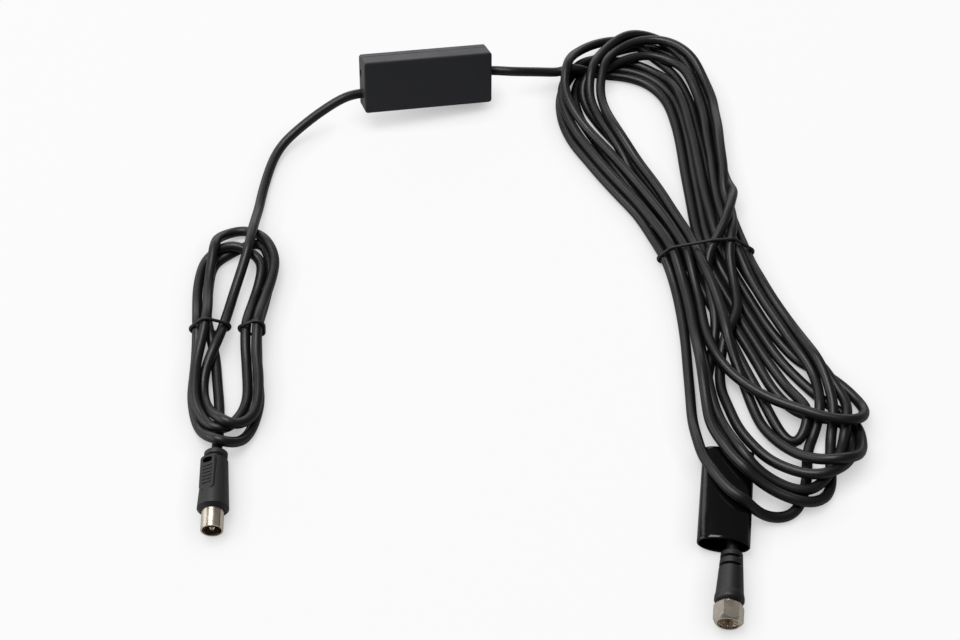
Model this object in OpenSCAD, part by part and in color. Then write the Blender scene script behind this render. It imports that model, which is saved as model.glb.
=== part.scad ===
// Aerial lead for a television: a coaxial lead with an inline signal amplifier.
// One end has a moulded push-in coaxial plug, the other a screw-on hex connector
// with a loose weather sleeve behind it. Both runs of lead are folded into hanks.
// The amplifier box leans back on its rear edge, as the stiff leads hold it.
// X runs along the box, Z is up, and the origin is the middle of the box's footprint.

/* [Amplifier box] */
// Length of the box
box_l = 65.5; // [55:0.5:80]
// Depth of the box, front face to back face
box_t = 14.5; // [13.5:0.1:18]
// Height of the box
box_h = 26.5; // [24:0.5:34]
// Depth of the back cover
cover_t = 5; // [4.2:0.1:5.5]
// Wall of both shells
shell_wall = 1.6; // [1.2:0.1:1.8]
// Round of the box's corners, seen from the front
corner_r = 1.5; // [1.2:0.1:2.5]
// Round of the edges of the front and back faces
edge_r = 0.9; // [0.5:0.1:1]
// Depth and width of the groove along the parting line
seam_groove = 0.35; // [0.2:0.05:0.5]
// Angle that the box leans back
box_lean = 23.4; // [15:0.1:30]
// Angle that the right end hangs down
box_roll = 6.1; // [0:0.1:8]

/* [Inside the box] */
// Thickness of the circuit board
board_t = 1; // [0.8:0.1:1.2]
// Gap between the board's edge and the shell
board_gap = 0.4; // [0.2:0.1:0.8]
// Diameter of the posts that the board sits on
post_d = 3; // [2.5:0.1:4]
// Length of the shield can
can_l = 26; // [18:0.5:30]
// Width of the shield can
can_w = 15; // [10:0.5:17]
// Height of the shield can
can_h = 3.2; // [2.4:0.1:3.4]
// Sheet thickness of the shield can
can_sheet = 0.3; // [0.2:0.05:0.5]
// Length of the amplifier chip
chip_l = 5; // [4:0.1:6]
// Width of the amplifier chip
chip_w = 4; // [3:0.1:5]
// Outside diameter of the ring inductors
ring_d = 5; // [4:0.1:5.4]
// Wound thickness of the ring inductors
ring_t = 2; // [1.6:0.1:2.4]
// Diameter of the electrolytic capacitor
cap_d = 5; // [4:0.1:5.4]
// Length of the electrolytic capacitor
cap_l = 7; // [6:0.1:9]

/* [Power socket] */
// Bore of the power socket
jack_bore = 4.2; // [3.6:0.1:4.6]
// Centre of the socket, measured from the back face
jack_back = 4.2; // [3.8:0.1:4.6]
// Height of the socket above the middle of the box
jack_up = 4.4; // [3:0.1:6]
// Length of the socket's body
jack_l = 10; // [8:0.5:13]
// Wall of the socket's body beside its bore
jack_wall = 0.75; // [0.6:0.05:0.8]
// Diameter of the socket's centre pin
jack_pin_d = 1.5; // [1.2:0.1:1.7]

/* [Lead] */
// Diameter of the coaxial lead
lead_d = 4.7; // [4.4:0.1:4.9]
// Diameter of the lead's copper core
core_d = 0.8; // [0.6:0.1:1]
// Length of lead inside each end of the box
lead_in = 9; // [6:0.5:12]
// Height of the left lead, measured from the middle of the box
left_exit = -5.8; // [-7:0.1:-5]
// Height of the right lead, measured from the middle of the box
right_exit = 0.5; // [-3:0.1:3]
// Height of the left hank
left_hank_h = 12; // [9.5:0.5:14]
// Height of the right hank
right_hank_h = 15; // [14.5:0.5:18]
// Diameter of the wire ties
tie_d = 1.5; // [1:0.1:2]

/* [Push-in plug] */
// Length of the plug's moulding
plug_l = 29.5; // [26:0.5:36]
// Diameter of the moulding at its front rim
plug_rim_d = 13.6; // [12.6:0.1:13.8]
// Diameter of the moulding behind the grip
plug_rear_d = 10.9; // [10:0.1:12]
// Outside diameter of the ferrule
ferrule_d = 9.52; // [9.4:0.01:9.6]
// Sheet thickness of the ferrule
ferrule_wall = 0.4; // [0.3:0.05:0.6]
// Length of ferrule in front of the moulding
ferrule_out = 9; // [8:0.1:10]
// Length of ferrule inside the moulding
ferrule_in = 15; // [12:0.5:17]
// Diameter of the ferrule's drawn-in shank, inside the moulding
ferrule_shank_d = 9; // [8.7:0.05:9.1]
// Diameter of the plug's hollow pin
plug_pin_d = 2.4; // [2:0.1:2.6]
// Number of ribs on the grip panel
grip_ribs = 6; // [4:1:7]

/* [Screw-on connector] */
// Length of the connector's moulding
conn_l = 23.5; // [22:0.5:30]
// Diameter of the moulding at its front rim
conn_rim_d = 12.4; // [11.6:0.1:12.8]
// Diameter of the moulding at its rear
conn_rear_d = 9.2; // [8.6:0.1:10]
// Width of the hex nut across its flats
nut_af = 11; // [10.6:0.1:11.4]
// Length of the hex nut
nut_l = 8; // [7:0.1:9]
// Bore of the hex nut's threaded chamber
nut_bore = 8.8; // [8.7:0.05:9.2]
// Thickness of the nut's rear lip
nut_lip = 1.6; // [1.2:0.1:2]
// Diameter of the neck that the nut turns on
neck_d = 7.5; // [7:0.1:7.8]
// Length of bare core in front of the nut
core_out = 1.2; // [0.5:0.1:3]

/* [Weather sleeve] */
// Length of the sleeve
sleeve_l = 48; // [44:1:56]
// Width of the sleeve at its mouth
sleeve_w = 22.2; // [20:0.1:24]
// Height of the sleeve at its mouth
sleeve_mouth_h = 12.5; // [11:0.1:13]
// Height of the sleeve at its rear, under the turns
sleeve_rear_h = 8.2; // [7.4:0.1:9]
// Wall of the sleeve
sleeve_wall = 1; // [0.8:0.1:1.1]

/* [Hidden] */
$fn = 48;

// Clearances
slip = 0.1;        // between parts that slide together
fit = 0.05;        // between a part and the moulding around it
turn_gap = 0.08;   // radial running gap under the nut
seat = 0.3;        // between soft parts that lie on each other
bite = 0.02;       // past a face, so that a cut goes right through

// Places inside the box, measured from its middle with Y towards the back
seam_y = box_t / 2 - cover_t;
inner_l = box_l - 2 * shell_wall;
inner_h = box_h - 2 * shell_wall;
front_in = -box_t / 2 + shell_wall;
back_in = box_t / 2 - shell_wall;
lead_r = lead_d / 2;
hole_r = lead_r + slip;
board_back = seam_y - lead_r - fit;
board_front = board_back - board_t;
board_l = inner_l - 2 * board_gap;
board_h = inner_h - 2 * board_gap;
jack_y = box_t / 2 - jack_back;
jack_h = jack_bore + 2 * jack_wall;
jack_back_y = back_in - slip;
jack_front_y = board_back + slip / 2;
jack_floor = 1.5;
end_x = box_l / 2;
post_x = inner_l / 2 - post_d;
post_z = inner_h / 2 - post_d;
peg_d = 2.1;
peg_x = end_x - max(lead_in, shell_wall + jack_l) - post_d;
peg_z = inner_h / 2 - 4;
lip_t = 0.9;
lip_h = 1.4;
clamp_t = 0.4;
clamp_w = 4;

// The box's middle stands at this height when its lowest corner is on the table
box_z = edge_r + (box_l / 2 - edge_r) * sin(box_roll)
    + cos(box_roll) * ((box_t / 2 - edge_r) * sin(box_lean) + (box_h / 2 - edge_r) * cos(box_lean));

// A point given in the box's own axes, in the model's axes
function box_point(p) =
    let (y = p.y * cos(box_lean) + p.z * sin(box_lean),
         z = -p.y * sin(box_lean) + p.z * cos(box_lean))
    [p.x * cos(box_roll) + z * sin(box_roll), y, box_z - p.x * sin(box_roll) + z * cos(box_roll)];

// The push-in plug lies with its rear here and points towards -Y
plug_at = [-134.5, -191.7, plug_rim_d / 2 + slip];
plug_turn = 10.6;
plug_roll = -25;
function plug_point(z) = plug_at + z * [-sin(plug_turn), -cos(plug_turn), 0];

// The screw-on connector
conn_at = [66.2, -289.9, nut_af / 2 / cos(30) + seat];
conn_turn = 21.4;
conn_roll = -18;
nut_roll = 6;
function conn_point(z) = conn_at + z * [-sin(conn_turn), -cos(conn_turn), 0];
conn_bore_l = 12;
collar_l = 1.1;
collar_d = neck_d + 1;
nut_z = conn_l + collar_l + slip;
flange_z = nut_z + nut_lip + slip;
flange_t = 1.2;
flange_d = nut_bore - 4 * slip;
core_bore = 4.4;

// The weather sleeve, from the middle of its mouth
sleeve_at = [64, -285.5, 0];
sleeve_spread = 1;     // how much wider the flattened rear is
cover_from = 20;       // the turns cover the sleeve from here back
slot_h = sleeve_mouth_h + (sleeve_rear_h - sleeve_mouth_h) * cover_from / sleeve_l + 2 * seat;

// Middles and sizes of the ties
right_tie_at = [104.8, -132.3];
right_tie_turn = -8.3;
right_tie_w = 43;
left_tie_outer_at = [-127.2, -122.6];
left_tie_outer_turn = -9;
left_tie_outer_w = 15.6;
left_tie_inner_at = [-109.2, -128.2];
left_tie_inner_turn = -22;
left_tie_inner_w = 9.6;

// Routes of the leads outside the hanks
left_route = [
    box_point([-end_x + lead_in, seam_y, left_exit]), box_point([-end_x - 1, seam_y, left_exit]),
    [-40, -1.5, 16.5], [-46, -3, 15.5], [-52, -4.5, 13.5], [-58, -6, 11], [-64, -8, 8.5],
    [-70, -10.5, 6], [-75, -13.5, 4.5], [-80, -18.5, 3.2], [-84, -25, 2.6], [-88, -34, 2.4],
    [-91.5, -43, 2.5], [-94.5, -52.5, 3.4], [-97, -60.5, 5.2], [-98.7, -67, 6.9]];
right_route = [
    box_point([end_x - lead_in, seam_y, right_exit]), box_point([end_x + 1, seam_y, right_exit]),
    [38, 0, 15.5], [44, -1.5, 15.5], [50, -2.5, 14.5], [56, -3, 13], [62, -3, 11.2], [66.8, -3, 9.8]];
left_tail_route = [
    [-133.4, -186.8, 5.6], [-134, -189.5, 6.5], plug_point(0), plug_point(plug_l - ferrule_in - slip)];
right_tail_route = [
    [87.8, -241, 3.5], [85.5, -247, 3.5], [82.5, -255, 3.5], [78.5, -264, 3.9], [74, -273, 4.8],
    [70, -281, 5.9], conn_point(-4), conn_point(0), conn_point(conn_bore_l - slip)];

// Outline of the two circles and the tangents between them
function lobe_points(a, ra, b, rb, n = 20) =
    let (d = norm(b - a),
         along = atan2(b.y - a.y, b.x - a.x),
         open = acos((ra - rb) / d))
    concat(
        [for (i = [0:n]) a + ra * dir(along + open + i * (360 - 2 * open) / n)],
        [for (i = [0:n]) b + rb * dir(along - open + i * 2 * open / n)]);
function dir(angle) = [cos(angle), sin(angle)];
module lobe(a, ra, b, rb) polygon(lobe_points(a, ra, b, rb));

// A round lead swept along its route, one ring of corners at each point
module lead_tube(route, sides = 12) {
    last = len(route) - 1;
    rings = [for (i = [0:last])
        let (ahead = route[min(i + 1, last)] - route[max(i - 1, 0)],
             side = cross(ahead, [0, 0, 1]) / norm(cross(ahead, [0, 0, 1])),
             up = cross(side, ahead / norm(ahead)))
        for (k = [0:sides - 1])
            route[i] + lead_r * (cos(k * 360 / sides) * side + sin(k * 360 / sides) * up)];
    walls = [for (i = [0:last - 1], k = [0:sides - 1])
        let (a = i * sides + k, b = i * sides + (k + 1) % sides)
        [a, b, b + sides, a + sides]];
    caps = [[for (k = [sides - 1:-1:0]) k], [for (k = [0:sides - 1]) last * sides + k]];
    polyhedron(points = rings, faces = concat(walls, caps), convexity = 6);
}

// Places a piece given in the box's own axes
module in_box() translate([0, 0, box_z]) rotate([0, box_roll, 0]) rotate([-box_lean, 0, 0]) children();

// Places a piece that is drawn with its axis up Z along a lead end
module on_lead(at, turn, roll = 0)
    translate(at) rotate([0, 0, -turn]) rotate([90, 0, 0]) rotate([0, 0, -roll]) children();

// A rounded plate across the box, between two depths
module plate(l, h, r, y0, y1)
    translate([0, y1, 0]) rotate([90, 0, 0]) linear_extrude(y1 - y0) {
        square([l - 2 * r, h], center = true);
        square([l, h - 2 * r], center = true);
        for (x = [-1, 1], z = [-1, 1])
            translate([x * (l / 2 - r), z * (h / 2 - r)]) circle(r, $fn = 32);
    }

// Closed face of a shell with its edge rounded in two steps
module domed_face(y_edge, y_face) {
    step = y_face > y_edge ? 1 : -1;
    mid = edge_r * (1 - cos(45));
    hull() {
        plate(box_l, box_h, corner_r, min(y_edge, y_edge + step * bite), max(y_edge, y_edge + step * bite));
        plate(box_l - 2 * mid, box_h - 2 * mid, corner_r - mid / 2,
            min(y_face - step * mid, y_face - step * (mid + bite)),
            max(y_face - step * mid, y_face - step * (mid + bite)));
        plate(box_l - 2 * edge_r, box_h - 2 * edge_r, corner_r - edge_r / 2,
            min(y_face, y_face - step * bite), max(y_face, y_face - step * bite));
    }
}

// Everything that passes through the end walls of the two shells
module end_openings() {
    translate([-end_x - 1, seam_y, left_exit]) rotate([0, 90, 0]) cylinder(h = shell_wall + 2, r = hole_r);
    translate([end_x - shell_wall - 1, seam_y, right_exit]) rotate([0, 90, 0])
        cylinder(h = shell_wall + 2, r = hole_r);
    translate([-end_x - 1, jack_y, jack_up]) rotate([0, 90, 0]) cylinder(h = shell_wall + 2, d = jack_bore);
}

module front_shell() color([0.13, 0.13, 0.14]) in_box() {
    difference() {
        union() {
            domed_face(-box_t / 2 + edge_r, -box_t / 2);
            plate(box_l, box_h, corner_r, -box_t / 2 + edge_r, seam_y - seam_groove);
            plate(box_l - 2 * seam_groove, box_h - 2 * seam_groove, corner_r - seam_groove,
                seam_y - seam_groove - bite, seam_y);
        }
        plate(inner_l, inner_h, corner_r / 2, front_in, seam_y + 1);
        end_openings();
    }
    for (x = [-1, 1], z = [-1, 1])
        translate([x * post_x, front_in - bite, z * post_z]) rotate([-90, 0, 0])
            cylinder(h = board_front - front_in + bite, d = post_d, $fn = 32);
}

module back_cover() color([0.15, 0.15, 0.16]) in_box() {
    difference() {
        union() {
            domed_face(box_t / 2 - edge_r, box_t / 2);
            plate(box_l, box_h, corner_r, seam_y, box_t / 2 - edge_r);
            plate(inner_l - 2 * slip, inner_h - 2 * slip, corner_r / 2, seam_y - lip_h, seam_y + bite);
        }
        plate(inner_l - 2 * slip - 2 * lip_t, inner_h - 2 * slip - 2 * lip_t, corner_r / 2,
            seam_y - lip_h - 1, back_in);
        end_openings();
        for (x = [-1, 1]) translate([x * (inner_l / 2), seam_y - lip_h / 2, x < 0 ? left_exit : right_exit])
            cube([3 * lip_t, lip_h + bite, 2 * hole_r], center = true);
        translate([-inner_l / 2, seam_y - lip_h - bite, jack_up - jack_h / 2 - board_gap])
            cube([3 * lip_t, back_in - seam_y + lip_h + bite, jack_h + 2 * board_gap]);
    }
    for (x = [-1, 1], z = [-1, 1])
        translate([x * peg_x, back_in + bite, z * peg_z]) rotate([90, 0, 0])
            cylinder(h = back_in - board_back - slip + bite, d = peg_d, $fn = 32);
}

module circuit_board() color([0.1, 0.35, 0.2]) in_box()
    plate(board_l, board_h, 0.8, board_front, board_back);

// Folded tin can over the amplifier stage, on the front side of the board
module shield_can() color([0.75, 0.75, 0.72]) in_box()
    translate([can_l / 6, board_front - can_h / 2, 0]) difference() {
        cube([can_l, can_h, can_w], center = true);
        translate([0, can_sheet, 0]) cube([can_l - 2 * can_sheet, can_h, can_w - 2 * can_sheet], center = true);
        for (x = [-1, 0, 1]) translate([x * can_l / 4, 0, 0]) rotate([90, 0, 0])
            cylinder(h = can_h + 1, d = 1.6, center = true, $fn = 24);
    }

module amplifier_chip() color([0.1, 0.1, 0.1]) in_box() {
    translate([can_l / 6, board_back + 0.8 + slip, 0]) cube([chip_l, 1.6, chip_w], center = true);
    for (x = [-1.5:1:1.5], z = [-1, 1])
        translate([can_l / 6 + x * 1.27, board_back + slip / 2 + 0.35, z * (chip_w / 2 + 0.4)])
            cube([0.45, 0.6, 1], center = true);
}

// Two ferrite rings stand on the back of the board and feed power past the signal
module ring_inductors() color([0.3, 0.28, 0.25]) in_box()
    for (x = [-0.16, 0.33]) translate([x * box_l, board_back + slip / 2 + ring_d / 2, -box_h / 6])
        rotate([0, 90, 0]) rotate_extrude($fn = 36)
            translate([ring_d / 2 - ring_t / 2, 0]) circle(d = ring_t, $fn = 20);

module electrolytic_capacitor() color([0.12, 0.13, 0.3]) in_box()
    translate([-box_l / 5, board_back + slip / 2 + cap_d / 2, box_h / 5]) rotate([0, 90, 0])
        rotate_extrude($fn = 36) polygon([[0, 0], [cap_d / 2 - 0.3, 0], [cap_d / 2, 0.3], [cap_d / 2, 0.8],
            [cap_d / 2 - 0.25, 1.1], [cap_d / 2, 1.4], [cap_d / 2, cap_l - 0.3], [cap_d / 2 - 0.3, cap_l],
            [0, cap_l]]);

// Barrel socket for the plug-top supply, against the inside of the left end wall
module dc_jack() color([0.08, 0.08, 0.08]) in_box()
    difference() {
        translate([-end_x + shell_wall + slip, jack_front_y, jack_up - jack_h / 2])
            cube([jack_l, jack_back_y - jack_front_y, jack_h]);
        translate([-end_x, jack_y, jack_up]) rotate([0, 90, 0]) {
            cylinder(h = shell_wall + jack_l - jack_floor, d = jack_bore);
            cylinder(h = 2 * jack_l, d = jack_pin_d + 2 * fit);
        }
    }

module dc_jack_pin() color([0.8, 0.8, 0.78]) in_box()
    translate([-end_x + shell_wall + slip, jack_y, jack_up]) rotate([0, 90, 0])
        rotate_extrude($fn = 32) polygon([[0, 0.8], [jack_pin_d / 4, 0.8], [jack_pin_d / 2, 1.3],
            [jack_pin_d / 2, jack_l + 0.6], [0, jack_l + 0.6]]);

// Tinned saddles soldered over the braid of each lead where it ends on the board
module braid_clamps() color([0.75, 0.73, 0.68]) in_box()
    for (end = [[-1, left_exit], [1, right_exit]])
        translate([end.x * (end_x - lead_in + clamp_w / 2 + 0.5), seam_y, end.y]) rotate([0, 90, 0]) {
            rotate([0, 0, 90]) intersection() {
                difference() {
                    cylinder(h = clamp_w, r = hole_r + clamp_t, center = true);
                    cylinder(h = clamp_w + 1, r = hole_r, center = true);
                }
                translate([0, -hole_r - clamp_t - 1, -clamp_w]) cube([hole_r + clamp_t + 1, 2 * hole_r + 4, 2 * clamp_w]);
            }
            for (s = [-1, 1]) translate([s * (hole_r + clamp_t / 2), -lead_r / 2, 0])
                cube([clamp_t, lead_r + bite, clamp_w], center = true);
        }

// Bare copper cores from the two lead ends to their pads on the board
module core_wires() color([0.72, 0.45, 0.25]) in_box()
    for (end = [[-1, left_exit], [1, right_exit]])
        translate([end.x * (end_x - lead_in - slip), seam_y, end.y]) rotate([0, -end.x * 90, 0])
            cylinder(h = 4, d = core_d, $fn = 24);

module left_lead() color([0.12, 0.12, 0.12]) lead_tube(left_route);
module right_lead() color([0.12, 0.12, 0.12]) lead_tube(right_route);
module left_tail() color([0.12, 0.12, 0.12]) lead_tube(left_tail_route);
module right_tail() color([0.12, 0.12, 0.12]) lead_tube(right_tail_route);

// Groove under a hank where its tie passes
module tie_groove(at, turn, w)
    translate([at.x, at.y, 0]) rotate([0, 0, turn])
        translate([0, 0, (tie_d + slip) / 2 - 1]) cube([w + 2, tie_d + 2 * seat, tie_d + slip + 2], center = true);

// Outer shape of the left hank, an open loop of turns
module left_hank() color([0.12, 0.12, 0.12]) difference() {
    linear_extrude(left_hank_h) difference() {
        union() {
            lobe([-107, -83], 18.5, [-119.5, -125], 14.8);
            lobe([-119.5, -125], 14.8, [-126.5, -172], 17);
        }
        lobe([-111, -93], 7, [-116.5, -125], 3.2);
        lobe([-116.5, -125], 3.2, [-124, -161], 7);
    }
    tie_groove(left_tie_outer_at, left_tie_outer_turn, left_tie_outer_w);
    tie_groove(left_tie_inner_at, left_tie_inner_turn, left_tie_inner_w);
}

// Outer shape of the right hank, drawn in at its tie, with the sleeve lying under it
module right_hank() color([0.12, 0.12, 0.12]) difference() {
    linear_extrude(right_hank_h) {
        lobe([105, -16], 41, [104.8, -132], 20.3);
        lobe([104.8, -132], 20.3, [99, -247], 30);
        lobe([110, -160], 15, [138, -230], 12);
        lobe([99, -247], 30, [126, -249], 13);
    }
    tie_groove(right_tie_at, right_tie_turn, right_tie_w);
    translate(sleeve_at) rotate([0, 0, -conn_turn])
        translate([-sleeve_w / 2 - 1, 0, -1]) cube([sleeve_w + 2, sleeve_l + seat, slot_h + 1]);
}

// Wire tie bent round a bundle of the given width and height
module wire_tie(at, turn, w, h) {
    bend = tie_d;
    x = w / 2 + seat + tie_d / 2;
    top = h + seat + tie_d / 2;
    low = tie_d / 2;
    color([0.1, 0.1, 0.1]) translate([at.x, at.y, 0]) rotate([0, 0, turn]) rotate([90, 0, 0]) {
        for (s = [-1, 1]) {
            translate([s * x, low + bend, 0]) rotate([-90, 0, 0])
                cylinder(h = top - low - 2 * bend, d = tie_d, $fn = 24);
            for (corner = [[top - bend, 0], [low + bend, 270]])
                translate([s * (x - bend), corner[0], 0])
                    mirror([s < 0 ? 1 : 0, 0, 0]) rotate([0, 0, corner[1]]) rotate_extrude(angle = 90)
                        translate([bend, 0]) circle(d = tie_d, $fn = 24);
        }
        for (y = [low, top]) translate([-x + bend, y, 0]) rotate([0, 90, 0])
            cylinder(h = 2 * (x - bend), d = tie_d, $fn = 24);
    }
}

module left_tie_outer() wire_tie(left_tie_outer_at, left_tie_outer_turn, left_tie_outer_w, left_hank_h);
module left_tie_inner() wire_tie(left_tie_inner_at, left_tie_inner_turn, left_tie_inner_w, left_hank_h);
module right_tie() wire_tie(right_tie_at, right_tie_turn, right_tie_w, right_hank_h);

// Moulded body of the push-in plug: collar, neck, tapered grip and a raised ribbed panel
module plug_body() color([0.14, 0.14, 0.15]) on_lead(plug_at, plug_turn, plug_roll) {
    panel_w = 7;
    panel_up = plug_rim_d / 2 - 0.5;
    rib_from = 9.5;
    rib_step = 1.7;
    difference() {
        union() {
            rotate_extrude($fn = 64) polygon([[0, 0], [4.6, 0], [5.1, 0.5], [5.1, 2.4], [4.3, 3],
                [4.3, 3.6], [plug_rear_d / 2, 4.6], [plug_rim_d / 2, plug_l - 1.8],
                [plug_rim_d / 2, plug_l - 1.4], [plug_rim_d / 2 - 1.3, plug_l], [0, plug_l]]);
            hull() for (x = [-1, 1], z = [6, 19.5])
                translate([x * (panel_w / 2 - 1.5), 0, z]) rotate([-90, 0, 0])
                    cylinder(h = panel_up, r = 1.5, $fn = 24);
            for (i = [0:grip_ribs - 1]) translate([0, panel_up, rib_from + i * rib_step])
                cube([panel_w - 2.6, 0.6, 0.6], center = true);
        }
        translate([0, 0, -1]) cylinder(h = plug_l, r = lead_r + fit);
        translate([0, 0, plug_l - ferrule_in]) cylinder(h = ferrule_in + 1, d = ferrule_shank_d + 2 * fit);
        for (x = [-1, 1]) translate([x * 1, panel_up - 3, 6.8]) rotate([-90, 0, 0])
            cylinder(h = 4, r = 1.3, $fn = 32);
        translate([-1, panel_up - 3, 5.5]) cube([2, 4, 2.6]);
    }
}

// Rolled sheet ferrule with its split seam and a crimped rear neck
module plug_ferrule() color([0.8, 0.77, 0.72]) on_lead(plug_at, plug_turn) {
    rear = plug_l - ferrule_in;
    mouth = plug_l + ferrule_out;
    seam_w = 0.3;
    difference() {
        union() {
            translate([0, 0, rear]) cylinder(h = mouth - rear, d = ferrule_shank_d);
            translate([0, 0, plug_l]) cylinder(h = ferrule_out, d = ferrule_d);
        }
        translate([0, 0, rear + ferrule_wall]) cylinder(h = mouth, d = ferrule_shank_d - 2 * ferrule_wall);
        translate([0, 0, rear - 1]) cylinder(h = 3, r = core_d);
        rotate([0, 0, -49]) translate([-seam_w / 2, ferrule_d / 2 - 1, plug_l - 2])
            cube([seam_w, 2, ferrule_out + 3]);
    }
}

module plug_insulator() color([0.25, 0.17, 0.1]) on_lead(plug_at, plug_turn)
    translate([0, 0, plug_l - ferrule_in + ferrule_wall]) difference() {
        cylinder(h = ferrule_in - 4, d = ferrule_shank_d - 2 * ferrule_wall - 2 * fit);
        translate([0, 0, -1]) cylinder(h = ferrule_in, d = plug_pin_d + 2 * fit);
    }

module plug_pin() color([0.82, 0.79, 0.74]) on_lead(plug_at, plug_turn)
    translate([0, 0, plug_l - ferrule_in + 1]) rotate_extrude($fn = 40) polygon([[0, 0], [plug_pin_d / 2, 0],
        [plug_pin_d / 2, ferrule_in + ferrule_out - 2.2], [plug_pin_d / 2 - 0.5, ferrule_in + ferrule_out - 1.6],
        [core_d / 2, ferrule_in + ferrule_out - 1.6], [core_d / 2, ferrule_in + 2], [0, ferrule_in + 2]]);

// Soft sleeve, pressed flatter towards its rear where the turns lie on it
module weather_sleeve() color([0.1, 0.1, 0.1]) translate(sleeve_at) rotate([0, 0, -conn_turn]) {
    difference() {
        sleeve_loft(0, 0, sleeve_l);
        sleeve_loft(sleeve_wall, -1, sleeve_l + 1);
    }
}

module sleeve_loft(inset, y0, y1) {
    hull() for (y = [y0, y1]) {
        share = y / sleeve_l;
        h = sleeve_mouth_h + (sleeve_rear_h - sleeve_mouth_h) * share - 2 * inset;
        w = sleeve_w + sleeve_spread * share - 2 * inset;
        for (x = [-1, 1]) translate([x * (w - h) / 2, y, h / 2 + inset]) rotate([y == y0 ? -90 : 90, 0, 0])
            cylinder(h = bite, d = h, $fn = 40);
    }
}

// Moulded body of the screw-on connector, with a flat that two relief slots cross
module connector_body() color([0.14, 0.14, 0.15]) on_lead(conn_at, conn_turn, conn_roll) {
    flat_w = 6.4;
    flat_up = conn_rear_d / 2 + 0.25;
    difference() {
        union() {
            rotate_extrude($fn = 64) polygon([[0, 0], [conn_rear_d / 2 - 0.7, 0], [conn_rear_d / 2, 0.7],
                [conn_rim_d / 2, conn_l - 1.4], [conn_rim_d / 2, conn_l - 1],
                [conn_rim_d / 2 - 0.9, conn_l], [0, conn_l]]);
            translate([-flat_w / 2, 0, 0.6]) cube([flat_w, flat_up, 10]);
        }
        translate([0, 0, -1]) cylinder(h = conn_l, r = lead_r + fit);
        translate([0, 0, conn_bore_l]) cylinder(h = conn_l, d = neck_d + 2 * fit);
        for (z = [3.9, 8.6]) translate([-flat_w / 2 - 1, lead_r + 0.9, z - 0.5])
            cube([flat_w + 1, flat_up, 1.1]);
    }
}

// Turned core: shank in the moulding, collar, neck for the nut and front flange
module connector_core() color([0.8, 0.78, 0.74]) on_lead(conn_at, conn_turn)
    rotate_extrude() polygon([[core_bore / 2, conn_bore_l], [neck_d / 2, conn_bore_l], [neck_d / 2, conn_l],
        [collar_d / 2, conn_l], [collar_d / 2, conn_l + collar_l], [neck_d / 2, conn_l + collar_l],
        [neck_d / 2, flange_z], [flange_d / 2, flange_z], [flange_d / 2, flange_z + flange_t],
        [core_bore / 2, flange_z + flange_t]]);

module connector_insulator() color([0.9, 0.88, 0.82]) on_lead(conn_at, conn_turn)
    translate([0, 0, conn_bore_l]) difference() {
        cylinder(h = flange_z + flange_t - conn_bore_l - 0.4, d = core_bore - 2 * fit);
        translate([0, 0, -1]) cylinder(h = 2 * conn_l, d = core_d + 2 * fit);
    }

module connector_pin() color([0.75, 0.55, 0.35]) on_lead(conn_at, conn_turn)
    translate([0, 0, conn_bore_l]) rotate_extrude($fn = 24) polygon([[0, 0], [core_d / 2, 0],
        [core_d / 2, nut_z + nut_l + core_out - conn_bore_l - 0.4],
        [core_d / 4, nut_z + nut_l + core_out - conn_bore_l], [0, nut_z + nut_l + core_out - conn_bore_l]]);

// Hex nut with chamfered corners, captive behind the flange by its rear lip
module hex_nut() color([0.8, 0.77, 0.72]) on_lead(conn_at, conn_turn, nut_roll) translate([0, 0, nut_z]) {
    corner = nut_af / 2 / cos(30);
    difference() {
        intersection() {
            cylinder(h = nut_l, r = corner, $fn = 6);
            rotate_extrude() polygon([[0, 0], [nut_af / 2 + 0.1, 0], [corner + 0.1, 0.5],
                [corner + 0.1, nut_l - 1.5], [nut_af / 2 - 0.5, nut_l], [0, nut_l]]);
        }
        translate([0, 0, -1]) cylinder(h = nut_l, d = neck_d + 2 * turn_gap);
        translate([0, 0, nut_lip]) cylinder(h = nut_l, d = nut_bore);
    }
}

front_shell();
back_cover();
circuit_board();
shield_can();
amplifier_chip();
ring_inductors();
electrolytic_capacitor();
dc_jack();
dc_jack_pin();
braid_clamps();
core_wires();
left_lead();
left_hank();
left_tie_outer();
left_tie_inner();
left_tail();
plug_body();
plug_ferrule();
plug_insulator();
plug_pin();
right_lead();
right_hank();
right_tie();
right_tail();
weather_sleeve();
connector_body();
connector_core();
connector_insulator();
connector_pin();
hex_nut();
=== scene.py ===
"""Television aerial lead with an inline amplifier: two hanks of lead, a push-in plug, a screw-on nut."""

import math

import bpy
import numpy as np
from mathutils import Matrix, Vector


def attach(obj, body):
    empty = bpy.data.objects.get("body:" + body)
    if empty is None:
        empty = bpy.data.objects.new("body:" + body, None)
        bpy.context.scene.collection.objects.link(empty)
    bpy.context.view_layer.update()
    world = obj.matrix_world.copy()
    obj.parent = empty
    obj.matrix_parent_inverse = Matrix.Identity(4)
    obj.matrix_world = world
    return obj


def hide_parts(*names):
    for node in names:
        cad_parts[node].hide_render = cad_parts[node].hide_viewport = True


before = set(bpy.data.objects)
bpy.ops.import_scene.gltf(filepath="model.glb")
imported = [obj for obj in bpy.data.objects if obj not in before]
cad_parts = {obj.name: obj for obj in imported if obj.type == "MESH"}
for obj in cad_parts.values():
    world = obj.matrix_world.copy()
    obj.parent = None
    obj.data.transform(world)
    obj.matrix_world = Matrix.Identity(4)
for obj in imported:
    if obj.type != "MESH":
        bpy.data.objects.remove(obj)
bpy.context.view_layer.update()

# Box shells: the amplifier's front shell and back cover, two ABS mouldings that snap together.
# Their moulds are spark-eroded, and the fine grain that this leaves keeps the box matt.


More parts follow.
